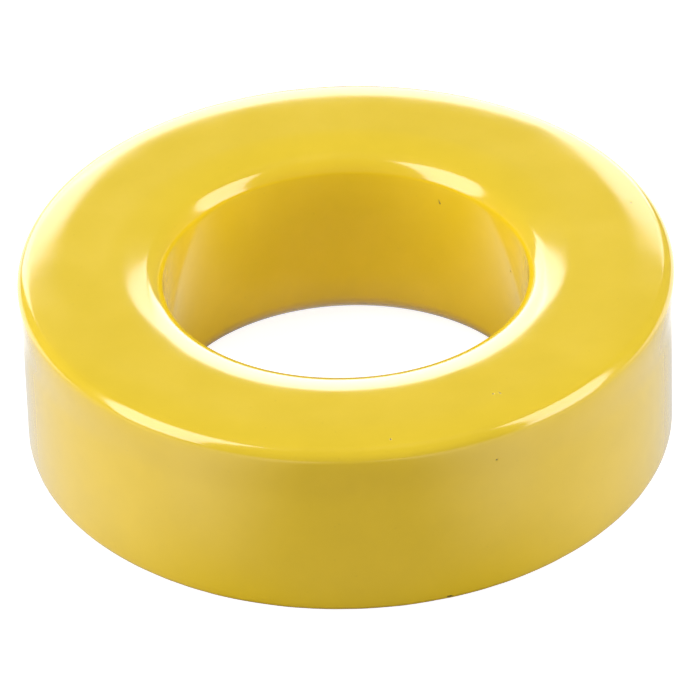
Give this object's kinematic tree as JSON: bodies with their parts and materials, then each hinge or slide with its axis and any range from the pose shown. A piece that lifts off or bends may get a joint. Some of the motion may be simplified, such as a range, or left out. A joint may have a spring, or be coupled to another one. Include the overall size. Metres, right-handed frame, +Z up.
{
  "type": "ferrite toroid core",
  "caption": "Round ring core of coated ferrite with well rounded edges and an open bore, for winding wire through to make an inductor, choke or transformer.",
  "frame": {"origin": "on the bore's axis, level with the flat underside that the ring rests on", "axes": "+Z up along the bore's axis, from the underside to the top face, whose edges are the more rounded; X and Y alike"},
  "size_m": [0.0586, 0.0586, 0.0174],
  "materials": {
    "coat": "smooth yellow gloss coat, slightly uneven, with a few dark pinholes and one small chip at the base"
  },
  "bodies": {
    "root": {"toroid_core": "coat"}
  },
  "joints": []
}
